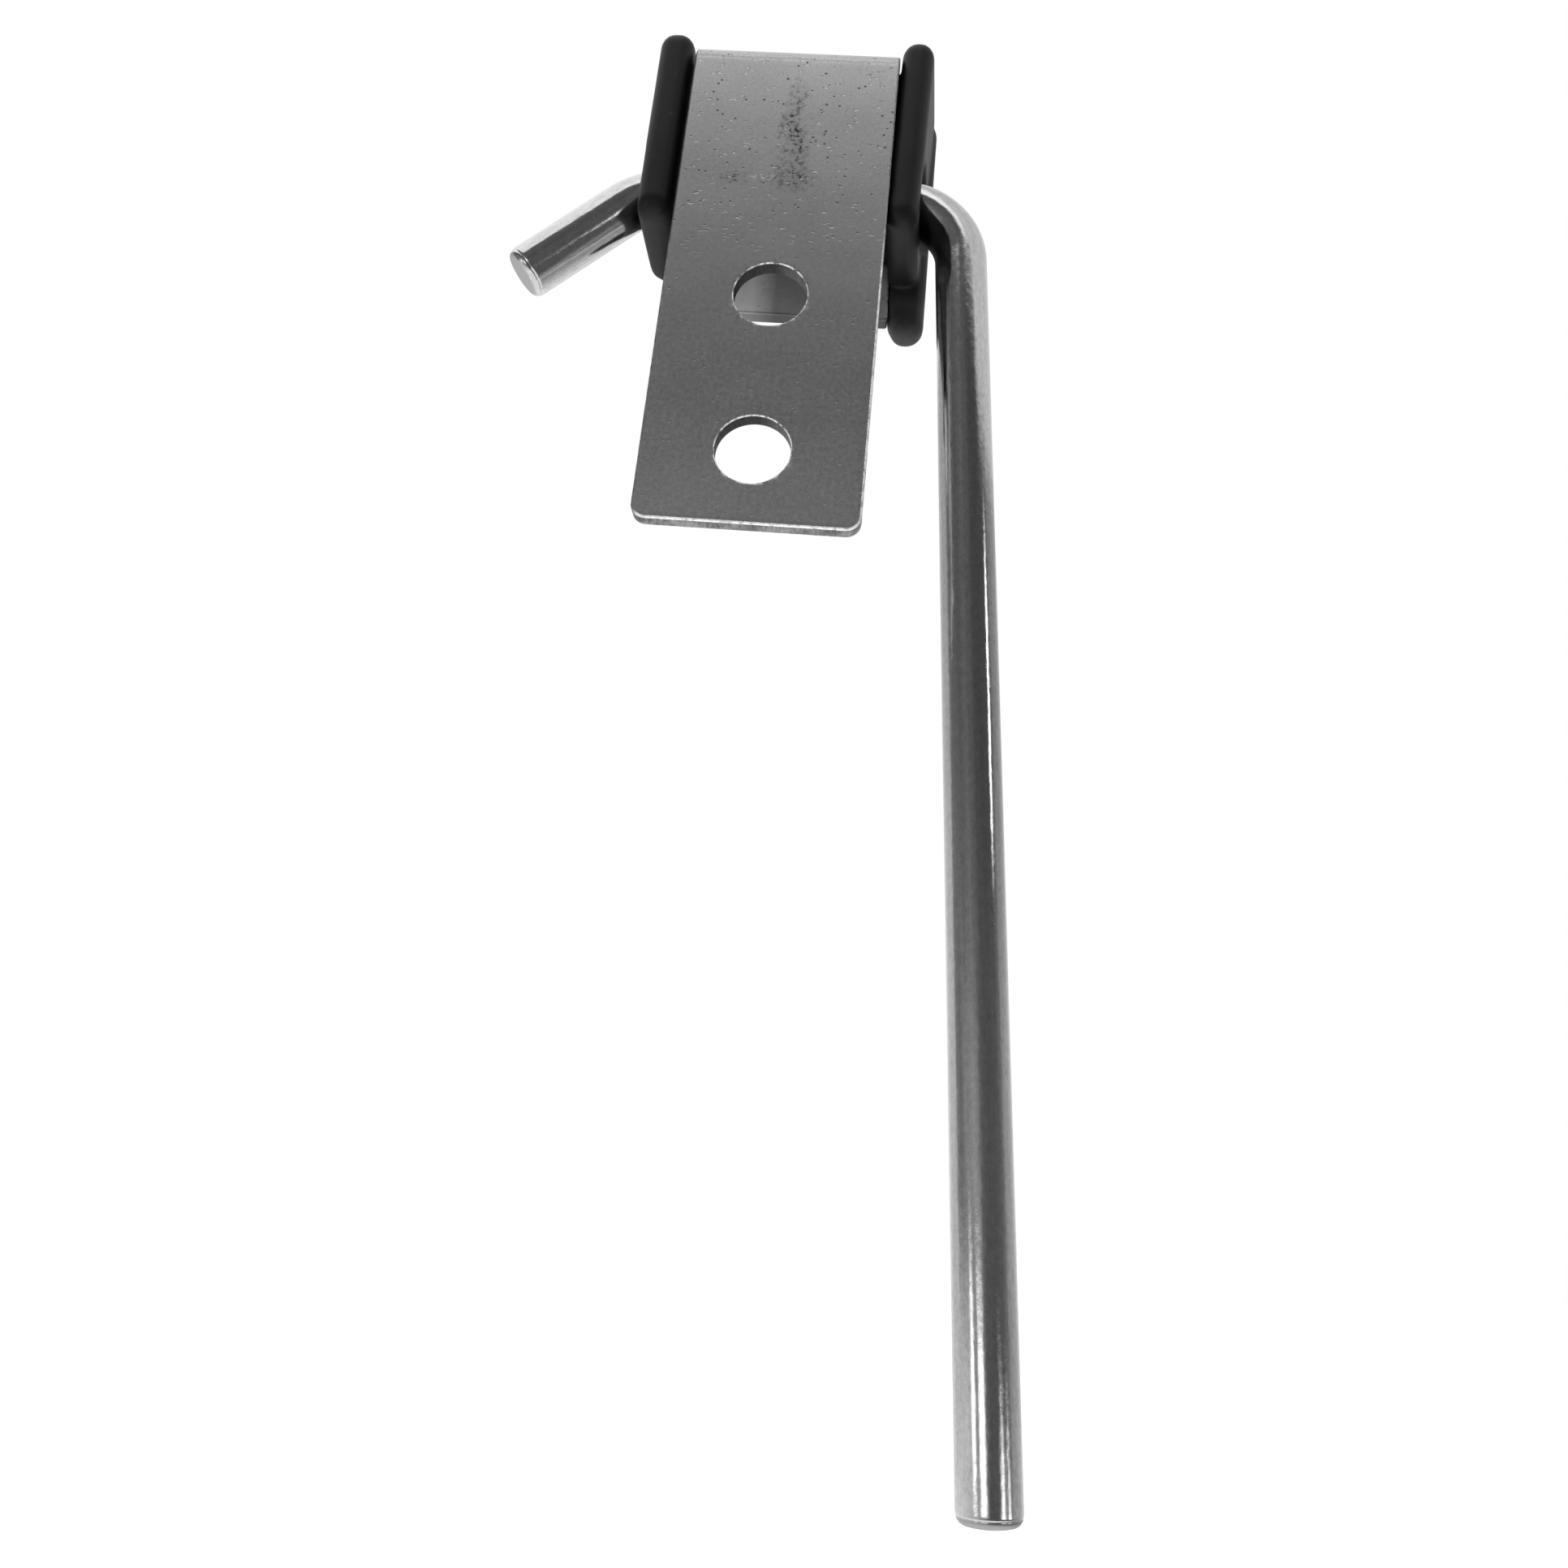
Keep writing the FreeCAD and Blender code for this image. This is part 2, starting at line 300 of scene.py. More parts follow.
def fold(point):
    """Map a point of the flat blank onto the folded strap."""
    x, along, depth = nibble(point)
    wave = noise.noise(Vector((x, along, 0.0)) / FACE_WAVE_SIZE)
    depth += FACE_WAVE * (0.5 + 0.5 * wave) * (1.0 - 2.0 * depth / SHEET)
    if along <= STRAIGHT_LEAF:
        return Vector((x, depth, STRAP_BOTTOM_Z + along))
    along -= STRAIGHT_LEAF
    bend_z = STRAP_TOP_Z - FOLD_RADIUS
    if along <= BEND_LENGTH:
        angle = along / FOLD_RADIUS
        reach = FOLD_RADIUS - depth
        return Vector((
            x, FOLD_RADIUS - reach * math.cos(angle), bend_z + reach * math.sin(angle)))
    along -= BEND_LENGTH
    if along <= TOP_LENGTH:
        return Vector((x, FOLD_RADIUS + along, STRAP_TOP_Z - depth))
    along -= TOP_LENGTH
    if along <= BEND_LENGTH:
        angle = along / FOLD_RADIUS
        reach = FOLD_RADIUS - depth
        return Vector((
            x, STRAP_DEPTH - FOLD_RADIUS + reach * math.sin(angle),
            bend_z + reach * math.cos(angle)))
    along -= BEND_LENGTH
    skew = SHORT_LEAF_SKEW * along / SHORT_LEAF
    return Vector((x + skew, STRAP_DEPTH - depth, bend_z - along))


def face_kind(face):
    """Return the material slot of a face of the flat blank."""
    upright = face.normal.z
    if upright < -FACE_UPRIGHT:
        return OUTER_FACE
    if upright > FACE_UPRIGHT:
        return INNER_FACE
    middle = face.calc_center_median()
    if middle.y > BLANK_LENGTH - LEAF_END_BAND:
        return LEAF_END_RIM if upright > RIM_UPRIGHT else LEAF_END
    if near_hole(middle):
        return HOLE_RIM if upright < -RIM_UPRIGHT else HOLE_WALL
    return SHEARED_RIM if abs(upright) > RIM_UPRIGHT else SHEARED_WALL


def make_strap(materials):
    """Return the folded strap as its own detailed piece."""
    mesh = flat_blank()
    for place in cut_stations():
        slice_mesh(mesh, (0, place, 0), (0, 1, 0))
    for index in range(-CROSSWISE_CUTS, CROSSWISE_CUTS + 1):
        slice_mesh(mesh, (index * CROSSWISE_STEP, 0, 0), (1, 0, 0))
    mesh.normal_update()
    for face in mesh.faces:
        face.material_index = face_kind(face)
    for vertex in mesh.verts:
        vertex.co = fold(vertex.co)
    bmesh.ops.recalc_face_normals(mesh, faces=mesh.faces[:])
    return finish_piece(mesh, "strap_sheet", materials)


# ---------------------------------------------------------------- rod

# The rod's material slots: the drawn surface is slot 0, the short arm's cut end is
# CUT_END, and the long arm's cut end with its chamfer is CUT_RIM.
CUT_END = 1
CUT_RIM = 2
# How squarely a face looks along the rod when it belongs to a cut end.
END_FACE_DOT = 0.9


def rod_corner(x):
    """Return the point where the rod's axis turns down into an arm."""
    return Vector((x, ROD_AXIS_Y, ROD_AXIS_Z))


def line_stations(start, end):
    """Return (centre, direction) pairs along a straight run."""
    run = end - start
    count = max(1, round(run.length / ROD_STEP))
    return [(start + run * i / count, run.normalized()) for i in range(count + 1)]


def bend_stations(corner, incoming, outgoing, radius):
    """Return (centre, direction) pairs round one bend."""
    angle = incoming.angle(outgoing)
    reach = radius * math.tan(angle / 2)
    side = (outgoing - incoming * incoming.dot(outgoing)).normalized()
    start = corner - incoming * reach
    centre = start + side * radius
    pairs = []
    count = max(LEAST_BEND_STEPS, round(math.degrees(angle) / BEND_DEGREES_PER_STEP))
    for step in range(count + 1):
        turn = angle * step / count
        outward = -side * math.cos(turn) + incoming * math.sin(turn)
        direction = incoming * math.cos(turn) + side * math.sin(turn)
        pairs.append((centre + outward * radius, direction))
    return pairs


def rod_stations():
    """Return (centre, direction) pairs from the short arm's end to the long arm's end."""
    long_corner = rod_corner(LONG_ARM_X)
    short_corner = rod_corner(SHORT_ARM_X)
    across = Vector((1, 0, 0))
    rise = Vector((math.cos(SHORT_ARM_BEND), 0, math.sin(SHORT_ARM_BEND)))
    drop = Vector((math.cos(LONG_ARM_BEND), 0, -math.sin(LONG_ARM_BEND)))
    first_bend = bend_stations(short_corner, rise, across, SHORT_ARM_BEND_RADIUS)
    second_bend = bend_stations(long_corner, across, drop, LONG_ARM_BEND_RADIUS)
    short_end = short_corner - rise * SHORT_ARM_LENGTH
    long_end = long_corner + drop * LONG_ARM_LENGTH
    pairs = line_stations(short_end, first_bend[0][0])
    pairs += first_bend[1:]
    pairs += line_stations(first_bend[-1][0], second_bend[0][0])[1:]
    pairs += second_bend[1:]
    pairs += line_stations(second_bend[-1][0], long_end)[1:]
    return pairs


# The chamfered end: distance from the end and radius, from the middle outwards.
END_PROFILE = (
    (0.0, 1.2 * MM), (0.0, 2.4 * MM), (0.02 * MM, 3.1 * MM), (0.07 * MM, 3.32 * MM),
    (0.2 * MM, 3.52 * MM), (0.5 * MM, 3.74 * MM), (0.85 * MM, 3.88 * MM),
    (0.93 * MM, 3.86 * MM), (1.0 * MM, 3.86 * MM), (1.08 * MM, 3.93 * MM),
    (1.25 * MM, 3.95 * MM),
)


def add_rings(mesh, rings, drawn):
    """Skin rings of (centre, direction, radius, distance along the rod).

    Each vertex also keeps its place on the straight rod in the drawn layer.
    """
    loops = []
    for centre, direction, radius, distance in rings:
        inward = direction.cross(Vector((0, 1, 0))).normalized()
        loop = []
        for side in range(ROD_SIDES):
            angle = 2 * math.pi * side / ROD_SIDES
            across = inward * math.cos(angle) + Vector((0, 1, 0)) * math.sin(angle)
            straight = Vector((radius * math.cos(angle), radius * math.sin(angle), distance))
            stretched = Vector((straight.x, straight.y, distance / ROD_WAVE_STRETCH))
            wave = noise.noise(stretched / ROD_WAVE_SIZE)
            dip = ROD_WAVE * (0.5 + 0.5 * wave)
            vertex = mesh.verts.new(centre + across * (radius - dip))
            vertex[drawn] = straight
            loop.append(vertex)
        loops.append(loop)
    for before, after in zip(loops, loops[1:]):
        for side in range(ROD_SIDES):
            other = (side + 1) % ROD_SIDES
            mesh.faces.new((before[side], before[other], after[other], after[side]))
    return loops


def cap(mesh, loop, centre, straight, drawn):
    """Close one end of the rod with a fan round its centre."""
    middle = mesh.verts.new(centre)
    middle[drawn] = straight
    for side in range(ROD_SIDES):
        mesh.faces.new((loop[side], loop[(side + 1) % ROD_SIDES], middle))


def make_rod(materials):
    """Return the bent rod with chamfered ends as its own detailed piece."""
    pairs = rod_stations()
    rings = []
    distance = 0.0
    total = sum((b[0] - a[0]).length for a, b in zip(pairs, pairs[1:]))
    for index, (centre, direction) in enumerate(pairs):
        if index:
            distance += (centre - pairs[index - 1][0]).length
        if ROD_END_RUN < distance < total - ROD_END_RUN:
            rings.append((centre, direction, ROD_RADIUS, distance))
    first_centre, first_direction = pairs[0]
    last_centre, last_direction = pairs[-1]
    head = []
    tail = []
    for inset, radius in END_PROFILE:
        near_first = first_centre + first_direction * inset
        near_last = last_centre - last_direction * inset
        head.append((near_first, first_direction, radius, inset))
        tail.append((near_last, last_direction, radius, total - inset))
    rings = head + rings + tail[::-1]
    mesh = bmesh.new()
    drawn = mesh.verts.layers.float_vector.new("drawn")
    loops = add_rings(mesh, rings, drawn)
    cap(mesh, loops[0], first_centre, Vector((0, 0, 0)), drawn)
    cap(mesh, loops[-1], last_centre, Vector((0, 0, total)), drawn)
    bmesh.ops.recalc_face_normals(mesh, faces=mesh.faces[:])
    ends = ((first_centre, first_direction), (last_centre, last_direction))
    for face in mesh.faces:
        middle = face.calc_center_median()
        near = min((middle - centre).length for centre, _ in ends)
        faces_out = any(abs(face.normal.dot(way)) > END_FACE_DOT for _, way in ends)
        if near < END_FACE_REACH and faces_out:
            face.material_index = CUT_END
        if (middle - last_centre).dot(last_direction) > -CUT_RIM_DEPTH:
            face.material_index = CUT_RIM
    return finish_piece(mesh, "round_rod", materials)


# ---------------------------------------------------------------- bush

def make_bush(material):
    """Return the moulded bush, with the soft edges and dips of moulded rubber."""
    bush = new_object("moulded_bush", nodes["flanged_bush"].data.copy())
    remesh = bush.modifiers.new("remesh", "REMESH")
    remesh.mode = "VOXEL"
    remesh.voxel_size = BUSH_VOXEL
    soften = bush.modifiers.new("soften", "SMOOTH")
    soften.factor = 0.5
    soften.iterations = BUSH_SOFTENING_STEPS
    bake_modifiers(bush)
    low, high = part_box("flanged_bush")
    noise.seed_set(BUSH_WAVE_SEED)
    for vertex in bush.data.vertices:
        shift = noise.noise_vector(vertex.co / BUSH_WAVE_SIZE) * BUSH_WAVE
        place = vertex.co + shift
        radial = Vector((0.0, place.y - ROD_AXIS_Y, place.z - ROD_AXIS_Z))
        if radial.length < BORE_RADIUS:
            place += radial.normalized() * (BORE_RADIUS - radial.length)
        for axis in range(3):
            place[axis] = min(max(place[axis], low[axis]), high[axis])
        vertex.co = place
    shade_smooth(bush.data)
    bush.data.materials.clear()
    bush.data.materials.append(material)
    return bush


# ---------------------------------------------------------------- node graphs

class Graph:
    """Builds a node tree from short calls, most of which return an output socket."""

    def __init__(self, tree):
        """Start from an empty node tree."""
        self.tree = tree
        self.tree.nodes.clear()

    def feed(self, socket, value):
        """Give an input socket a value or a link."""
        if isinstance(value, bpy.types.NodeSocket):
            self.tree.links.new(value, socket)
        else:
            socket.default_value = value

    def node(self, kind, inputs=(), **settings):
        """Add a node with its settings and inputs."""
        made = self.tree.nodes.new(kind)
        for name, value in settings.items():
            setattr(made, name, value)
        for name, value in dict(inputs).items():
            self.feed(made.inputs[name], value)
        return made

    def place(self):
        """Return the place on the object, in metres in the CAD frame."""
        return self.node("ShaderNodeTexCoord").outputs["Object"]

    def drawn(self):
        """Return the place on the rod as if it were still straight."""
        made = self.node("ShaderNodeAttribute", attribute_name="drawn")
        return made.outputs["Vector"]

    def parts(self, vector):
        """Return the three outputs X, Y and Z of a vector."""
        return self.node("ShaderNodeSeparateXYZ", {0: vector}).outputs

    def run(self, value, start, end, low=0.0, high=1.0, smooth=False):
        """Return a level that runs from low to high as a value goes from start to end."""
        made = self.node("ShaderNodeMapRange", {
            "Value": value, "From Min": start, "From Max": end,
            "To Min": low, "To Max": high})
        if smooth:
            made.interpolation_type = "SMOOTHSTEP"
        return made.outputs[0]

    def math(self, operation, first, second=0.0, third=0.0):
        """Return the result of one calculation."""
        made = self.node(
            "ShaderNodeMath", {0: first, 1: second, 2: third}, operation=operation)
        return made.outputs[0]

    def times(self, first, *others):
        """Return the product of several values."""
        product = first
        for other in others:
            product = self.math("MULTIPLY", product, other)
        return product

    def plus(self, level, pattern, amount):
        """Return a level with an amount of a pattern added to it."""
        return self.math("MULTIPLY_ADD", pattern, amount, level)

    def vary(self, pattern, low, high):
        """Return a level that is low where a pattern is 0 and high where it is 1."""
        return self.math("MULTIPLY_ADD", pattern, high - low, low)

    def around(self, level, pattern, spread):
        """Return a level that a pattern moves up and down by half a spread."""
        return self.math(
            "MULTIPLY_ADD", self.math("SUBTRACT", pattern, 0.5), spread, level)

    def scale_vector(self, vector, factors):
        """Return a vector multiplied by a factor on each axis."""
        made = self.node(
            "ShaderNodeVectorMath", {0: vector, 1: factors}, operation="MULTIPLY")
        return made.outputs[0]

    def distance(self, vector, place):
        """Return the distance from a vector to a fixed place."""
        made = self.node(
            "ShaderNodeVectorMath", {0: vector, 1: place}, operation="DISTANCE")
        return made.outputs["Value"]

    def noise(self, vector, scale, detail=3.0, roughness=0.5):
        """Return a soft random pattern between 0 and 1."""
        made = self.node("ShaderNodeTexNoise", {
            "Vector": vector, "Scale": scale, "Detail": detail, "Roughness": roughness})
        return made.outputs["Fac"]

    def cells(self, vector, scale, dimensions="3D"):
        """Return the distance to the nearest point of a random scatter."""
        made = self.node(
            "ShaderNodeTexVoronoi", {"Vector": vector, "Scale": scale},
            voronoi_dimensions=dimensions)
        return made.outputs["Distance"]

    def ramp(self, value, stops):
        """Return a value read from a straight-line ramp of (position, value) stops."""
        made = self.node("ShaderNodeValToRGB", {0: value})
        ramp = made.color_ramp
        ramp.interpolation = "LINEAR"
        while len(ramp.elements) < len(stops):
            ramp.elements.new(0.5)
        for element, (place, _) in zip(ramp.elements, stops):
            element.position = place
        for element, (_, level) in zip(ramp.elements, stops):
            element.color = (level, level, level, 1.0)
        return made.outputs[0]

    def blend(self, share, first, second):
        """Return first where share is 0 and second where it is 1."""
        made = self.node(
            "ShaderNodeMix", {0: share, 2: first, 3: second}, data_type="FLOAT")
        return made.outputs[0]

    def bump(self, height, depth, normal=None):
        """Return a normal for a height pattern of the given depth."""
        inputs = {"Strength": 1.0, "Distance": depth, "Height": height}
        if normal is not None:
            inputs["Normal"] = normal
        return self.node("ShaderNodeBump", inputs).outputs[0]


def new_material(name):
    """Return a new material and its graph."""
    material = bpy.data.materials.new(name)
    material.use_nodes = True
    return material, Graph(material.node_tree)


def finish_material(graph, colour, roughness, normal, metallic, specular=0.5):
    """Close a material graph with the shader and the output."""
    shader = graph.node("ShaderNodeBsdfPrincipled", {
        "Base Color": colour, "Roughness": roughness, "Normal": normal,
        "Metallic": metallic, "Specular IOR Level": specular})
    graph.node("ShaderNodeOutputMaterial", {"Surface": shader.outputs[0]})
    return shader


# ---------------------------------------------------------------- materials

STEEL_LEVEL = 0.40

# Where a change of the finish, or of painted light and shade, starts and ends along one
# axis.
WORN_Z = (19.0 * MM, 37.0 * MM)
DRAWN_LINES_Z = (44.0 * MM, 54.0 * MM)
# Painted light on the short leaf's inner face, brighter to the left of this span.
PAINTED_LIT_SIDE_X = (-4.8 * MM, -1.0 * MM)
# Painted shade on the sheared rims' painted highlight: dull on the left and near the fold.
PAINTED_SHADE_BURR_X = (-15.6 * MM, -14.8 * MM)
PAINTED_SHADE_BURR_Z = (16.0 * MM, 27.0 * MM)
PALER_WALL_X = (0.5 * MM, 4.5 * MM)
# Painted light: the rubber is painted paler below this height, for the light thrown up from
# the floor.
PAINTED_FLOOR_LIGHT_Z = (28.0 * MM, 24.0 * MM)

# The press line where the sheet starts to fold: its lowest height, how far it wavers
# upwards, and the distances from it where its shade starts and ends.
CREASE_Z = 56.2 * MM
CREASE_WAVER = 1.2 * MM
CREASE_EDGES = (0.05 * MM, 0.35 * MM)

# Each stain: centre in mm, squeeze of each axis, radius in mm.
STAINS = (
    ((0.6, 0.0, 42.5), (0.8, 0.3, 0.14), 1.8),
    ((0.9, 0.0, 34.0), (0.6, 0.3, 0.8), 2.6),
    ((-7.5, 0.0, 33.5), (0.9, 0.3, 1.1), 1.6),
)
# How far the stains' places wander slowly and quickly, and where the slow wander starts.
STAIN_SLOW_SHIFT = 7.0 * MM
STAIN_QUICK_SHIFT = 6.0 * MM
STAIN_SHIFT_START = -3.9 * MM

# The bright patch worn by rubbing: centre in mm, squeeze of each axis, outer and inner
# radius in mm.
RUB = ((-3.0, 0.0, 33.79), (0.35, 0.3, 1.9), 1.0, 0.3)

# Painted light and shade along the long leaf: how much lighter or darker it is painted along
# its length, from its free end.
PAINTED_LENGTH_LIGHT = (
    (0.0, 2.05), (0.08, 1.8), (0.2, 1.3), (0.31, 1.08), (0.43, 0.95), (0.55, 0.87),
    (0.73, 0.84), (0.82, 0.88), (0.9, 1.0), (1.0, 1.14),
)

TOOL_RING_SPACING = 0.45 * MM


def strap_face_material():
    """Dull rolled sheet steel: fine mottle, short scuffs, pits and a dark stain."""
    material, graph = new_material("strap_steel")
    place = graph.place()
    parts = graph.parts(place)
    worn = graph.run(parts["Z"], *WORN_Z)
    blotch = graph.noise(place, 160.0, 4.0, 0.6)
    mottle = graph.noise(place, 1500.0, 4.0, 0.7)
    grain = graph.noise(graph.scale_vector(place, (1.0, 1.0, 0.4)), 4200.0, 2.0)
    scuffs = graph.times(scuff_mask(graph, place), worn)
    pits = graph.times(pit_mask(graph, place), graph.vary(worn, 0.15, 1.0))
    stain = stain_mask(graph, place)

    level = graph.plus(STEEL_LEVEL, blotch, 0.08)
    level = graph.around(level, mottle, graph.vary(worn, 0.05, 0.28))
    level = graph.around(level, grain, graph.vary(worn, 0.01, 0.18))
    level = graph.plus(level, scuffs, 0.32)
    level = graph.plus(level, drawn_lines_mask(graph, place), -0.08)
    level = graph.plus(level, pits, -0.28)
    level = graph.plus(level, rub_mask(graph, place), 0.3)
    # The long leaf's colour also carries painted light and shade along its length.
    level = graph.times(
        level, graph.vary(stain, 1.0, 0.05), crease_shade(graph, place),
        painted_length_light(graph, place))

    roughness = graph.plus(graph.vary(mottle, 0.17, 0.37), stain, 0.15)
    relief = graph.times(mottle, graph.vary(worn, 0.1, 1.0))
    dents = graph.math("SUBTRACT", graph.times(pits, -1.0), scuffs)
    normal = graph.bump(dents, 0.06 * MM, graph.bump(relief, 0.006 * MM))
    finish_material(graph, level, roughness, normal, 1.0)
    return material


def unrolled_place(graph, place, waver=0.0):
    """Return the place on the unrolled sheet, with its length wavering by a distance."""
    parts = graph.parts(place)
    along = graph.math("ADD", parts["Y"], parts["Z"])
    if waver:
        along = graph.plus(along, graph.noise(place, 420.0, 2.0), waver)
    made = graph.node("ShaderNodeCombineXYZ", {"X": parts["X"], "Y": along})
    return made.outputs[0]


def scuff_mask(graph, place):
    """Return where the sheet carries short bright scuffs across its width."""
    flat = graph.scale_vector(unrolled_place(graph, place, 1.6 * MM), (0.42, 1.6, 1.0))
    scuff = graph.ramp(graph.cells(flat, 760.0, "2D"), ((0.09, 1.0), (0.17, 0.0)))
    chosen = graph.ramp(graph.noise(place, 360.0, 2.0), ((0.53, 0.0), (0.56, 1.0)))
    return graph.times(scuff, chosen)


def pit_mask(graph, place):
    """Return where the sheet carries small round pits."""
    flat = unrolled_place(graph, place)
    pit = graph.ramp(graph.cells(flat, 560.0, "2D"), ((0.05, 1.0), (0.12, 0.0)))
    chosen = graph.ramp(graph.noise(place, 300.0, 2.0), ((0.54, 0.0), (0.6, 1.0)))
    return graph.times(pit, chosen)


def drawn_lines_mask(graph, place):
    """Return where the folding tool has left faint lines, which show near the fold."""
    stretched = graph.scale_vector(place, (3.5, 1.0, 0.3))
    lines = graph.ramp(graph.noise(stretched, 1100.0, 2.0), ((0.6, 0.0), (0.7, 1.0)))
    return graph.times(lines, graph.run(graph.parts(place)["Z"], *DRAWN_LINES_Z))


def painted_length_light(graph, place):
    """Return the painted light and shade that change the long leaf's tone from its free end
    up to the fold.
    """
    along = graph.run(graph.parts(place)["Z"], STRAP_BOTTOM_Z, STRAP_TOP_Z)
    return graph.ramp(along, PAINTED_LENGTH_LIGHT)


def crease_shade(graph, place):
    """Return the darkening of the faint press line where the sheet starts to fold."""
    line = graph.plus(CREASE_Z, graph.noise(place, 240.0, 3.0), CREASE_WAVER)
    away = graph.math("ABSOLUTE", graph.math("SUBTRACT", graph.parts(place)["Z"], line))
    return graph.run(away, *CREASE_EDGES, 0.74, 1.0)


def spot_mask(graph, place, centre, squeeze, outer, inner):
    """Return 1 inside a squeezed round spot, fading to 0 between two radii in mm."""
    squeezed = graph.scale_vector(place, squeeze)
    middle = tuple(c * s * MM for c, s in zip(centre, squeeze))
    return graph.run(graph.distance(squeezed, middle), outer * MM, inner * MM)


def stain_mask(graph, place):
    """Return where the long leaf carries its broken dark stain and its smudges."""
    slow = graph.noise(place, 190.0, 2.0)
    quick = graph.noise(place, 800.0, 4.0, 0.7)
    shift = graph.plus(STAIN_SHIFT_START, slow, STAIN_SLOW_SHIFT)
    shift = graph.around(shift, quick, STAIN_QUICK_SHIFT)
    parts = graph.parts(place)
    moved = graph.node("ShaderNodeCombineXYZ", {
        "X": graph.math("ADD", parts["X"], shift), "Y": parts["Y"], "Z": parts["Z"]})
    total = 0.0
    for centre, squeeze, radius in STAINS:
        near = spot_mask(graph, moved.outputs[0], centre, squeeze, radius, 0.1 * radius)
        total = graph.math("MAXIMUM", near, total)
    broken = graph.ramp(graph.noise(place, 1300.0, 4.0, 0.75), ((0.5, 0.12), (0.57, 1.0)))
    return graph.times(total, broken)


def rub_mask(graph, place):
    """Return where the long leaf carries a small bright patch worn by rubbing."""
    broken = graph.ramp(graph.noise(place, 1500.0, 3.0, 0.7), ((0.48, 0.0), (0.56, 1.0)))
    return graph.times(spot_mask(graph, place, *RUB), broken)


def inner_face_material(name, tone, metallic):
    """The strap's inner faces: the same sheet, duller and less worn by rubbing, with painted
    light brightening the short leaf's left side.
    """
    material, graph = new_material(name)
    place = graph.place()
    parts = graph.parts(place)
    mottle = graph.noise(place, 900.0, 4.0, 0.7)
    spot = graph.ramp(graph.cells(place, 520.0), ((0.06, 1.0), (0.16, 0.0)))
    patch = graph.noise(place, 120.0, 2.0)
    level = graph.plus(graph.vary(mottle, 0.2, 0.44), patch, 0.3)
    level = graph.plus(level, spot, -0.15)
    # Painted light: the short leaf's inner face is painted brighter towards its left side,
    # for the light it catches there.
    painted_lit_side = graph.run(parts["X"], *PAINTED_LIT_SIDE_X, 2.7 * tone, 0.98 * tone)
    on_short_leaf = graph.math("GREATER_THAN", parts["Y"], ROD_AXIS_Y)
    level = graph.times(level, graph.blend(on_short_leaf, 0.86 * tone, painted_lit_side))
    normal = graph.bump(mottle, 0.01 * MM)
    finish_material(graph, level, graph.vary(mottle, 0.45, 0.65), normal, metallic)
    return material


def drag_lines(graph, place, scale=2600.0):
    """Return the fine drag lines that shearing leaves through the sheet."""
    return graph.noise(graph.scale_vector(place, (1.0, 0.25, 1.0)), scale, 3.0, 0.6)


def sheared_wall_material():
    """The strap's sheared wall, with fine drag lines through the sheet."""
    material, graph = new_material("strap_wall")
    place = graph.place()
    drag = drag_lines(graph, place)
    patch = graph.noise(place, 420.0, 3.0, 0.6)
    colour = graph.around(graph.around(0.26, patch, 0.6), drag, 0.6)
    normal = graph.bump(drag, 0.03 * MM)
    finish_material(graph, colour, graph.vary(drag, 0.3, 0.5), normal, 1.0)
    return material


def burr_and_highlight_material():
    """The sheared rims' pale burr, partly real and partly a painted highlight, with painted
    shade that dulls it on the left and near the fold.
    """
    material, graph = new_material("strap_burr_and_highlight")
    place = graph.place()
    parts = graph.parts(place)
    # Painted shade: the rim's painted highlight is dulled on the left and towards the fold.
    from_left = graph.run(parts["X"], *PAINTED_SHADE_BURR_X, 0.22, 1.0)
    from_fold = graph.run(parts["Z"], *PAINTED_SHADE_BURR_Z, 1.0, 0.3)
    broken = graph.ramp(graph.noise(place, 900.0, 4.0, 0.7), ((0.36, 0.5), (0.52, 1.2)))
    drag = drag_lines(graph, place)
    colour = graph.times(from_left, from_fold, broken, graph.vary(drag, 0.6, 1.1))
    normal = graph.bump(drag, 0.03 * MM)
    finish_material(graph, colour, graph.vary(drag, 0.2, 0.4), normal, 0.4)
    return material


def hole_rim_material():
    """The broken pale burr round a punched hole, partly real and partly a painted highlight
    for the light it scatters.
    """
    material, graph = new_material("hole_burr_and_highlight")
    place = graph.place()
    broken = graph.ramp(graph.noise(place, 700.0, 4.0, 0.7), ((0.42, 0.15), (0.56, 1.0)))
    # Partly a painted highlight: the rim's colour is made pale to stand in for the light it
    # catches.
    colour = graph.times(broken, 0.95)
    normal = graph.bump(broken, 0.03 * MM)
    finish_material(graph, colour, graph.vary(broken, 0.3, 0.5), normal, 0.25)
    return material


def hole_wall_material():
    """The wall of a punched hole: dark, and paler towards its right side."""
    material, graph = new_material("hole_wall")
    place = graph.place()
    # The hole wall's colour runs paler towards its right side.
    paler_side = graph.run(graph.parts(place)["X"], *PALER_WALL_X, 0.05, 0.2)
    drag = drag_lines(graph, place, 2200.0)
    colour = graph.times(paler_side, graph.vary(drag, 0.2, 1.8))
    normal = graph.bump(drag, 0.03 * MM)
    finish_material(graph, colour, graph.vary(drag, 0.4, 0.6), normal, 1.0)
    return material


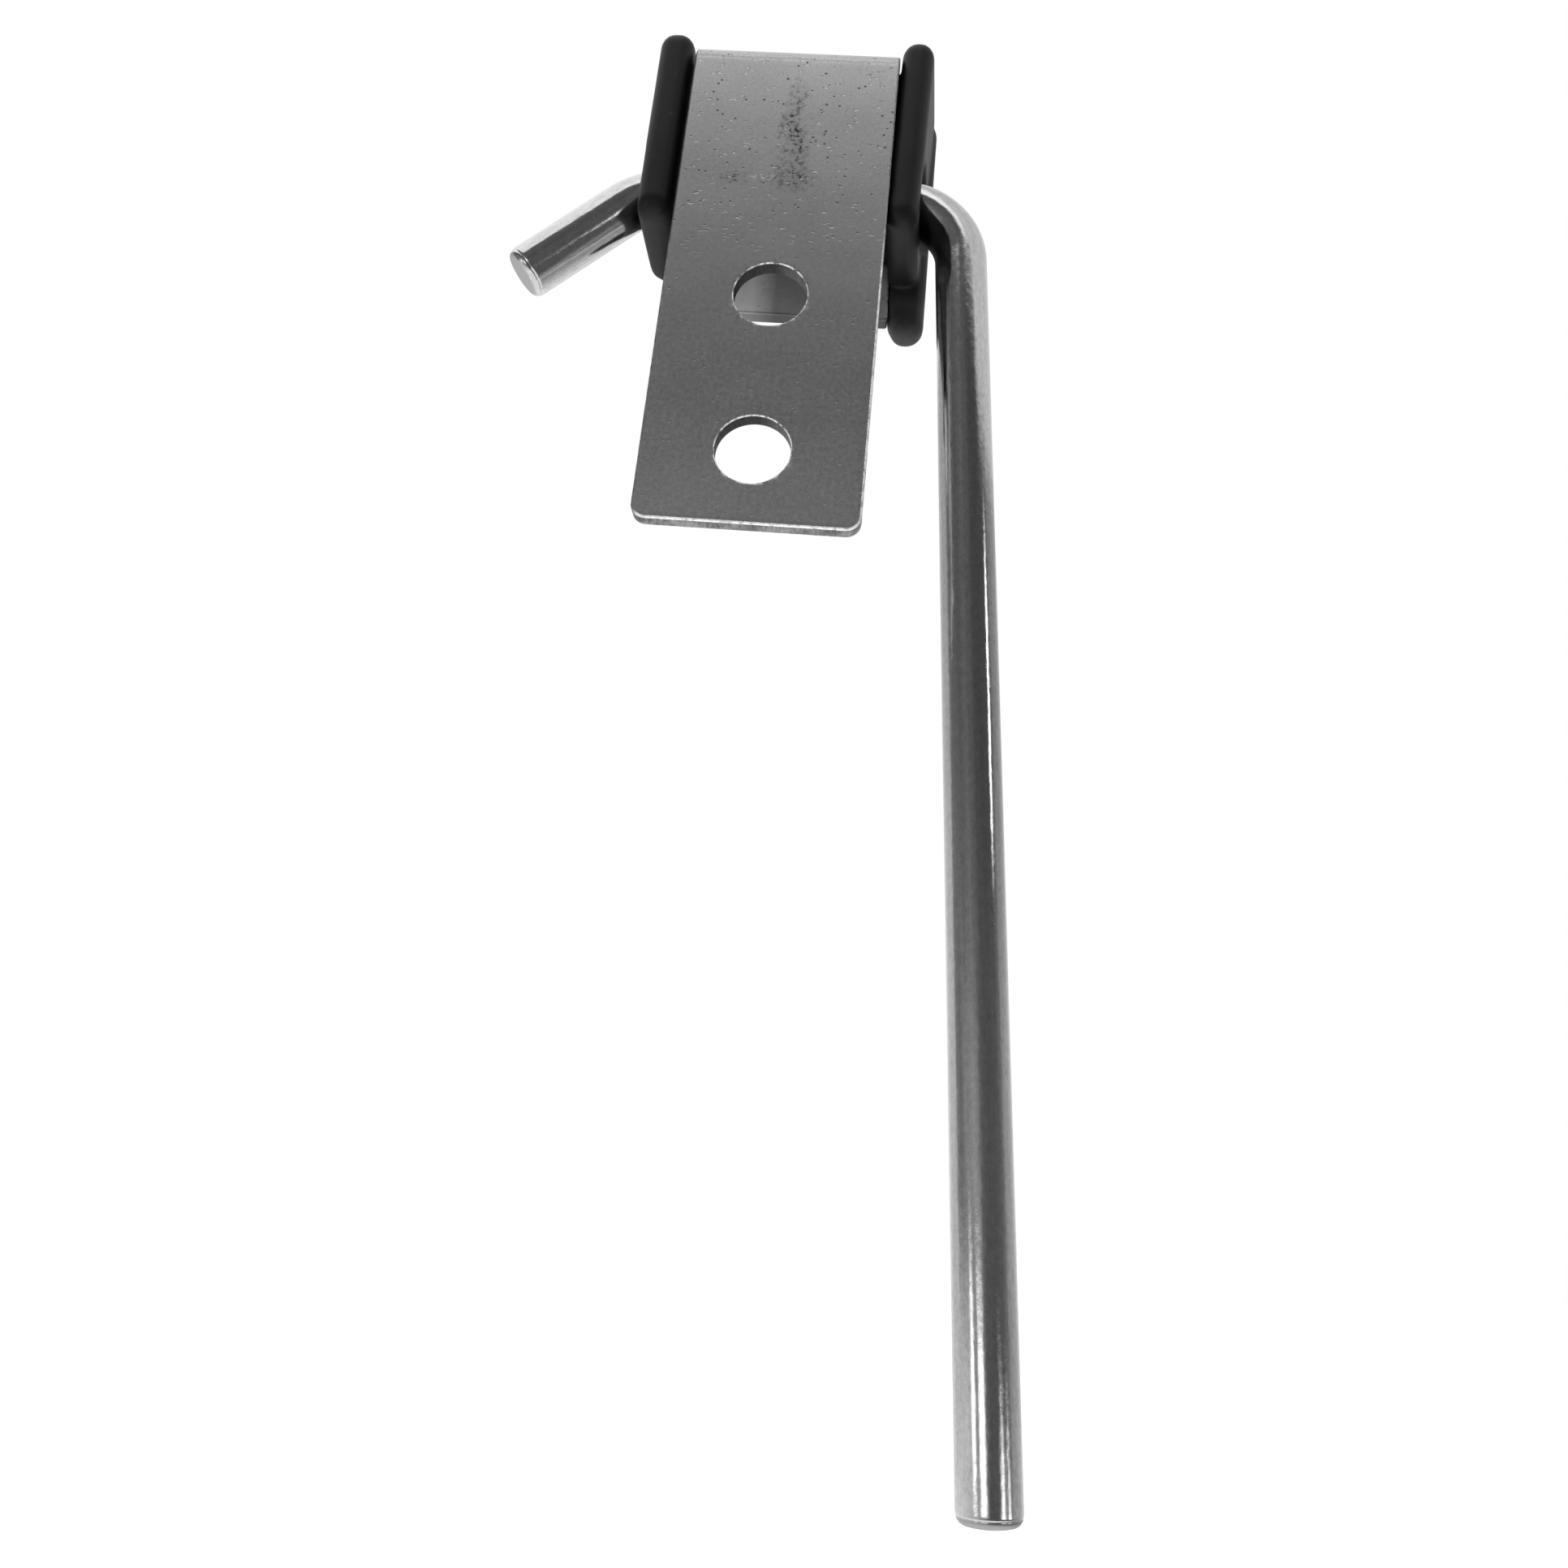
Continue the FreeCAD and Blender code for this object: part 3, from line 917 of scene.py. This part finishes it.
def rod_body_material():
    """Bright drawn steel: near mirror, with ripples and specks along its length."""
    material, graph = new_material("rod_plating")
    drawn = graph.drawn()
    streak = graph.noise(graph.scale_vector(drawn, (1.0, 1.0, 0.03)), 2400.0, 3.0, 0.6)
    ripple = graph.noise(graph.scale_vector(drawn, (1.0, 1.0, 0.4)), 620.0, 2.0, 0.6)
    grain = graph.noise(graph.scale_vector(drawn, (1.0, 1.0, 0.6)), 1500.0, 5.0, 0.85)
    speck = graph.ramp(graph.cells(drawn, 520.0), ((0.04, 1.0), (0.12, 0.0)))
    chosen = graph.ramp(graph.noise(drawn, 300.0, 2.0), ((0.6, 0.0), (0.66, 1.0)))
    specks = graph.times(speck, chosen)
    colour = graph.around(graph.around(0.74, streak, 0.2), grain, 0.7)
    colour = graph.plus(colour, specks, -0.3)
    normal = graph.bump(ripple, 0.03 * MM)
    normal = graph.bump(grain, 0.012 * MM, normal)
    normal = graph.bump(graph.math("SUBTRACT", streak, specks), 0.003 * MM, normal)
    finish_material(graph, colour, graph.vary(grain, 0.03, 0.09), normal, 1.0)
    return material


def rod_end_material(name, tone):
    """The rod's cut ends, with rings left by the tool."""
    material, graph = new_material(name)
    drawn = graph.drawn()
    radius = graph.distance(graph.scale_vector(drawn, (1.0, 1.0, 0.0)), (0.0, 0.0, 0.0))
    rings = graph.math("SINE", graph.times(radius, 2 * math.pi / TOOL_RING_SPACING))
    patch = graph.noise(drawn, 700.0, 4.0, 0.6)
    colour = graph.vary(patch, 0.86 * tone, 1.16 * tone)
    normal = graph.bump(graph.plus(patch, rings, 0.5), 0.006 * MM)
    finish_material(graph, colour, graph.vary(patch, 0.3, 0.5), normal, 1.0)
    return material


def rubber_material():
    """Black moulded rubber with a satin skin, faint scuffs, and painted light from the floor
    that makes it paler low down.
    """
    material, graph = new_material("bush_rubber")
    place = graph.place()
    cloud = graph.noise(place, 130.0, 4.0, 0.6)
    skin = graph.noise(place, 2600.0, 3.0, 0.6)
    scuff = graph.ramp(graph.noise(place, 620.0, 5.0, 0.7), ((0.66, 0.0), (0.78, 1.0)))
    # Painted light: paler low down, standing in for light thrown up from the floor.
    painted_floor_light = graph.run(graph.parts(place)["Z"], *PAINTED_FLOOR_LIGHT_Z, 0.0, 0.06)
    colour = graph.plus(graph.vary(cloud, 0.001, 0.007), cloud, painted_floor_light)
    colour = graph.plus(colour, scuff, 0.04)
    rough = graph.plus(graph.vary(cloud, 0.38, 0.54), scuff, 0.1)
    finish_material(graph, colour, rough, graph.bump(skin, 0.008 * MM), 0.0, 0.32)
    return material


def floor_material():
    """A white matt studio floor that melts into the white background."""
    material, graph = new_material("pale_floor")
    cloud = graph.noise(graph.place(), 3.0, 3.0)
    normal = graph.bump(cloud, 0.1 * MM)
    shader = finish_material(graph, graph.vary(cloud, 0.9, 0.92), 0.9, normal, 0.0, 0.1)
    shader.inputs["Emission Color"].default_value = (1.0, 1.0, 1.0, 1.0)
    shader.inputs["Emission Strength"].default_value = FLOOR_GLOW
    return material


# ---------------------------------------------------------------- camera, light, floor

def make_camera():
    """Put the camera below and in front of the bracket, looking up at it."""
    data = bpy.data.cameras.new("camera")
    data.sensor_width = SENSOR_WIDTH_MM
    data.lens = LENS_MM
    data.clip_start = 0.005
    data.clip_end = 20.0
    camera = bpy.data.objects.new("camera", data)
    bpy.context.scene.collection.objects.link(camera)
    back = CAMERA_RIGHT.cross(CAMERA_UP).normalized()
    up = back.cross(CAMERA_RIGHT).normalized()
    turn = Matrix((CAMERA_RIGHT.normalized(), up, back)).transposed().to_4x4()
    camera.matrix_world = Matrix.Translation(CAMERA_PLACE) @ turn
    bpy.context.scene.camera = camera


def degrees_stops(stops):
    """Turn (azimuth in degrees, level) stops into ramp positions from 0 to 1."""
    return tuple(((azimuth + 180.0) / 360.0, level) for azimuth, level in stops)


# The room round the bracket by azimuth: 0 is straight in front of the long leaf and
# positive is to the right. Levels are brightness unless a comment says otherwise.
LEVEL_SIDES = degrees_stops((
    (-180, 1.0), (-133, 0.6), (-112, 0.55), (-101, 0.5), (-98, 0.24), (-79, 0.17),
    (-52, 0.14), (-28, 0.18), (-17, 0.15), (-5, 0.14), (6, 0.1), (30, 0.09),
    (55, 0.105), (64, 0.12), (72, 0.16), (80, 0.18), (84, 0.3), (101, 0.36),
    (123, 0.45), (180, 1.0)))
LINE_SIDES = degrees_stops((
    (-180, 0.0), (66, 0.0), (66.7, 6.0), (69.5, 6.0), (70.2, 0.0), (180, 0.0)))
# The share by which the room is brighter at eye level.
NEAR_SIDES = degrees_stops((
    (-180, 0.0), (-75, 0.0), (-60, 0.8), (-14, 0.9), (-5, 0.0), (180, 0.0)))
LOW_SIDES = degrees_stops((
    (-180, 1.0), (-128, 0.6), (-75, 0.6), (-57, 0.5), (-55, 2.6), (-48, 2.6), (-45, 0.3),
    (-33, 0.3), (-30, 2.2), (-15, 2.2), (-11, 0.25), (2, 0.09), (26, 0.1), (37, 0.18),
    (39, 2.4), (47, 2.4), (50, 0.4), (61.5, 0.3), (63.5, 2.6), (69, 2.6), (71, 0.25),
    (84, 0.36), (110, 0.45), (180, 1.0)))
LOWER_SIDES = degrees_stops((
    (-180, 1.0), (-70, 0.6), (-20, 0.3), (-5, 0.1), (60, 0.1), (85, 0.11), (89, 0.27),
    (109, 0.33), (124, 0.45), (138, 0.58), (153, 0.66), (172, 1.0), (180, 1.0)))
# The height above which the bright overhead part starts.
OVERHEAD_START = degrees_stops((
    (-180, 0.5), (-75, 0.6), (-60, 0.62), (-20, 0.62), (-13, 0.66), (-6, 0.66),
    (40, 0.63), (52, 0.58), (90, 0.56), (180, 0.5)))
OVERHEAD_SIDES = degrees_stops((
    (-180, 0.9), (-130, 1.0), (-60, 0.95), (-35, 0.9), (-14, 1.1), (10, 1.15), (22, 0.6),
    (110, 0.6), (150, 0.7), (180, 0.8)))
FLOOR_LEVEL = 0.9

# The heights of the direction vector where each part of the room fades in or out.
UPWARD_DIMMING = (0.12, 0.42)
UPWARD_LEVEL = 0.72
NEAR_FADE = (0.22, 0.0)
LINE_BOTTOM = (0.31, 0.35)
LINE_TOP = (0.54, 0.5)
LOW_FADE = (-0.045, -0.2)
LOWER_FADE = (-0.222, -0.24)
OVERHEAD_FADE = (0.0, 0.05)
FLOOR_FADE = (-0.52, -0.75)


def make_world():
    """White to the camera; for light and reflections a soft room, darker in front."""
    world = bpy.data.worlds.new("studio")
    bpy.context.scene.world = world
    world.use_nodes = True
    graph = Graph(world.node_tree)
    parts = graph.parts(graph.node("ShaderNodeTexCoord").outputs["Generated"])
    height = parts["Z"]
    azimuth = graph.math("ARCTAN2", parts["X"], graph.times(parts["Y"], -1.0))
    turn = graph.plus(0.5, azimuth, 0.5 / math.pi)

    def sides(table):
        return graph.ramp(turn, table)

    def fade(heights, low=0.0, high=1.0):
        return graph.run(height, *heights, low, high, smooth=True)

    level = graph.times(sides(LEVEL_SIDES), fade(UPWARD_DIMMING, 1.0, UPWARD_LEVEL))
    level = graph.plus(level, level, graph.times(sides(NEAR_SIDES), fade(NEAR_FADE)))
    line_reach = graph.times(fade(LINE_BOTTOM), fade(LINE_TOP))
    level = graph.plus(level, sides(LINE_SIDES), line_reach)
    room = graph.blend(fade(LOW_FADE), level, sides(LOW_SIDES))
    room = graph.blend(fade(LOWER_FADE), room, sides(LOWER_SIDES))
    above = graph.math("SUBTRACT", height, sides(OVERHEAD_START))
    overhead = graph.run(above, *OVERHEAD_FADE, smooth=True)
    room = graph.blend(overhead, room, sides(OVERHEAD_SIDES))
    room = graph.blend(fade(FLOOR_FADE), room, FLOOR_LEVEL)
    seen = graph.node("ShaderNodeLightPath").outputs["Is Camera Ray"]
    colour = graph.blend(seen, room, 1.0)
    background = graph.node("ShaderNodeBackground", {"Color": colour, "Strength": 1.0})
    graph.node("ShaderNodeOutputWorld", {"Surface": background.outputs[0]})


def make_light():
    """Add one soft square light above and in front, aimed at the frame's origin."""
    data = bpy.data.lights.new("overhead", "AREA")
    data.size = LIGHT_SIZE
    data.energy = LIGHT_POWER
    light = bpy.data.objects.new("overhead", data)
    bpy.context.scene.collection.objects.link(light)
    light.location = LIGHT_PLACE
    light.visible_glossy = False
    light.rotation_euler = (-LIGHT_PLACE).to_track_quat("-Z", "Y").to_euler()


def make_floor():
    """Add the pale floor well below the hanging rod."""
    mesh = bmesh.new()
    bmesh.ops.create_grid(
        mesh, x_segments=FLOOR_SQUARES, y_segments=FLOOR_SQUARES, size=FLOOR_HALF_WIDTH)
    data = bpy.data.meshes.new("floor")
    mesh.to_mesh(data)
    mesh.free()
    floor = new_object("floor", data)
    floor.location = (0, 0, FLOOR_Z)
    floor.visible_glossy = False
    data.materials.append(floor_material())


# ---------------------------------------------------------------- assembly

make_camera()
make_world()
make_floor()
make_light()

strap = make_strap((
    strap_face_material(),
    burr_and_highlight_material(),
    sheared_wall_material(),
    hole_rim_material(),
    hole_wall_material(),
    inner_face_material("strap_inner", 1.0, 0.55),
    # Painted shade: the leaf end and its rim are darker copies of the inner face's material,
    # painted dark to cancel the light they catch from the floor below.
    inner_face_material("leaf_end", 0.13, 0.2),
    inner_face_material("leaf_end_rim", 0.26, 0.2)))
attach(strap, "bracket")
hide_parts("folded_strap")

bush = make_bush(rubber_material())
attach(bush, "bracket")
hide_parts("flanged_bush")

rod = make_rod((
    rod_body_material(),
    rod_end_material("rod_cut_end", 0.72),
    rod_end_material("rod_cut_rim", 0.5)))
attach(rod, "rod")
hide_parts("bent_rod")

bpy.context.scene.view_settings.view_transform = "Standard"
